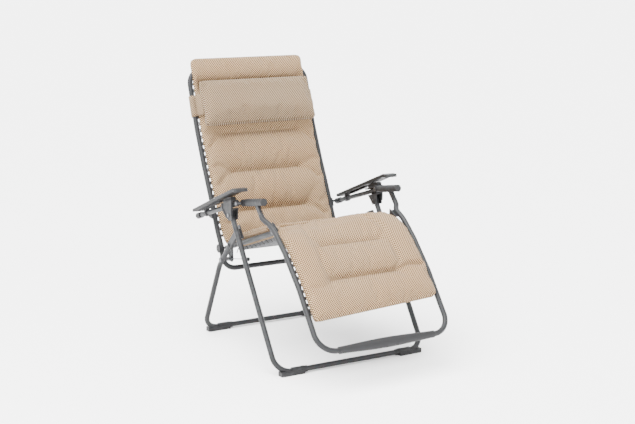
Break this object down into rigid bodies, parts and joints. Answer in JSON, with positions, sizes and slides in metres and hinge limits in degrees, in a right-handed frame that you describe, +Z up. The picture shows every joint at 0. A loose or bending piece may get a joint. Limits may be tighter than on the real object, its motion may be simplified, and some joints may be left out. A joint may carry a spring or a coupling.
{
  "type": "zero gravity recliner",
  "caption": "Folding tube-frame recliner with a laced padded sling, headrest pillow, sliding arm rails and a linked leg rest.",
  "frame": {"origin": "on the floor, under the middle of the chair's bounding box", "axes": "+Z up, +Y towards the back of the chair, +X towards the sitter's left"},
  "size_m": [0.71, 1.0938, 1.0785],
  "materials": {
    "frame_paint": "satin grey powder coat",
    "grey_plastic": "fine moulded texture",
    "dark_plastic": "fine moulded texture",
    "bare_steel": "zinc plated",
    "pad_fabric": "beige spacer mesh",
    "pillow_fabric": "beige spacer mesh",
    "elastic": "black elastic cord"
  },
  "bodies": {
    "front_legs": {"front_leg_frame": "frame_paint", "fold_lugs": "frame_paint", "fold_rivets": "bare_steel", "leg_top_plugs": "grey_plastic", "front_shoe_left": "grey_plastic", "front_shoe_right": "grey_plastic"},
    "fold_links": {"bracket_rivet_left": "bare_steel", "bracket_rivet_right": "bare_steel", "seat_pivot_pins": "bare_steel"},
    "rear_legs": {"rear_leg_frame": "frame_paint", "rear_leg_studs": "bare_steel", "rear_shoe_left": "grey_plastic", "rear_shoe_right": "grey_plastic"},
    "seat": {"seat_frame": "frame_paint", "seat_lugs": "frame_paint", "seat_pad": "pad_fabric", "seat_lace_left": "elastic", "seat_lace_right": "elastic", "back_pivot_pins": "bare_steel", "knee_pins": "bare_steel"},
    "fold_hook": {"fold_hook": "bare_steel", "hook_knob": "dark_plastic"},
    "backrest": {"back_frame": "frame_paint", "back_joint_covers": "grey_plastic", "arm_studs": "frame_paint", "back_pad": "pad_fabric", "pillow_band": "pillow_fabric", "headrest_pillow": "pillow_fabric", "back_lace_left": "elastic", "back_lace_right": "elastic"},
    "leg_rest": {"legrest_frame": "frame_paint", "knee_lugs": "frame_paint", "foot_roller": "grey_plastic", "legrest_pad": "pad_fabric", "legrest_lace_left": "elastic", "legrest_lace_right": "elastic"},
    "slide_bracket_left": {"slide_bracket_left": "grey_plastic", "lever_pin_left": "bare_steel"},
    "lock_lever_left": {"lock_lever_left": "dark_plastic"},
    "arm_left": {"arm_rail_left": "frame_paint", "rail_end_cap_left": "dark_plastic", "arm_pad_left": "grey_plastic", "arm_strut_left": "grey_plastic", "front_sleeve_left": "grey_plastic", "sleeve_nose_left": "grey_plastic", "sleeve_bolt_left": "bare_steel", "sleeve_trim_left": "grey_plastic"},
    "slide_bracket_right": {"slide_bracket_right": "grey_plastic", "lever_pin_right": "bare_steel"},
    "lock_lever_right": {"lock_lever_right": "dark_plastic"},
    "arm_right": {"arm_rail_right": "frame_paint", "rail_end_cap_right": "dark_plastic", "arm_pad_right": "grey_plastic", "arm_strut_right": "grey_plastic", "front_sleeve_right": "grey_plastic", "sleeve_nose_right": "grey_plastic", "sleeve_bolt_right": "bare_steel", "sleeve_trim_right": "grey_plastic"}
  },
  "joints": [
    {"name": "upper_fold", "type": "hinge", "parent": "front_legs", "child": "fold_links", "pos_m": [0, 0.0429, 0.536], "axis": [1, 0, 0], "range_deg": [-38, 0]},
    {"name": "rear_leg_fold", "type": "hinge", "parent": "front_legs", "child": "rear_legs", "pos_m": [0, 0.0569, 0.472], "axis": [1, 0, 0], "range_deg": [-50.9, 0]},
    {"name": "seat_tilt", "type": "hinge", "parent": "fold_links", "child": "seat", "pos_m": [0, 0.1889, 0.334], "axis": [-1, 0, 0], "range_deg": [0, 7.1]},
    {"name": "back_recline", "type": "hinge", "parent": "seat", "child": "backrest", "pos_m": [0, 0.2429, 0.366], "axis": [-1, 0, 0], "range_deg": [0, 24.6]},
    {"name": "leg_rest_lift", "type": "hinge", "parent": "seat", "child": "leg_rest", "pos_m": [0, -0.1571, 0.5], "axis": [-1, 0, 0], "range_deg": [0, 29.4]},
    {"name": "hook_turn", "type": "hinge", "parent": "seat", "child": "fold_hook", "pos_m": [-0.2562, 0.1889, 0.334], "axis": [1, 0, 0], "range_deg": [-10, 20]},
    {"name": "bracket_tilt_left", "type": "hinge", "parent": "fold_links", "child": "slide_bracket_left", "pos_m": [0.318, 0.0429, 0.536], "axis": [-1, 0, 0], "range_deg": [0, 7.4]},
    {"name": "lever_turn_left", "type": "hinge", "parent": "slide_bracket_left", "child": "lock_lever_left", "pos_m": [0.322, 0.07975, 0.58191], "axis": [0, 0.2892, 0.9573], "range_deg": [0, 35]},
    {"name": "rail_slide_left", "type": "slide", "parent": "slide_bracket_left", "child": "arm_left", "axis": [0, 0.9573, -0.2892], "range_m": [0, 0.073]},
    {"name": "bracket_tilt_right", "type": "hinge", "parent": "fold_links", "child": "slide_bracket_right", "pos_m": [-0.318, 0.0429, 0.536], "axis": [-1, 0, 0], "range_deg": [0, 7.4]},
    {"name": "lever_turn_right", "type": "hinge", "parent": "slide_bracket_right", "child": "lock_lever_right", "pos_m": [-0.322, 0.07975, 0.58191], "axis": [0, -0.2892, -0.9573], "range_deg": [0, 35]},
    {"name": "rail_slide_right", "type": "slide", "parent": "slide_bracket_right", "child": "arm_right", "axis": [0, 0.9573, -0.2892], "range_m": [0, 0.073]}
  ],
  "couplings": [
    {"joint": "rear_leg_fold", "follows": "upper_fold", "ratio": 1.3353},
    {"joint": "seat_tilt", "follows": "back_recline", "ratio": 0.2822},
    {"joint": "leg_rest_lift", "follows": "back_recline", "ratio": 1.1894},
    {"joint": "bracket_tilt_left", "follows": "back_recline", "ratio": 0.29538},
    {"joint": "rail_slide_left", "follows": "back_recline", "m_per_rad": 0.1691},
    {"joint": "bracket_tilt_right", "follows": "back_recline", "ratio": 0.29538},
    {"joint": "rail_slide_right", "follows": "back_recline", "m_per_rad": 0.1691}
  ]
}
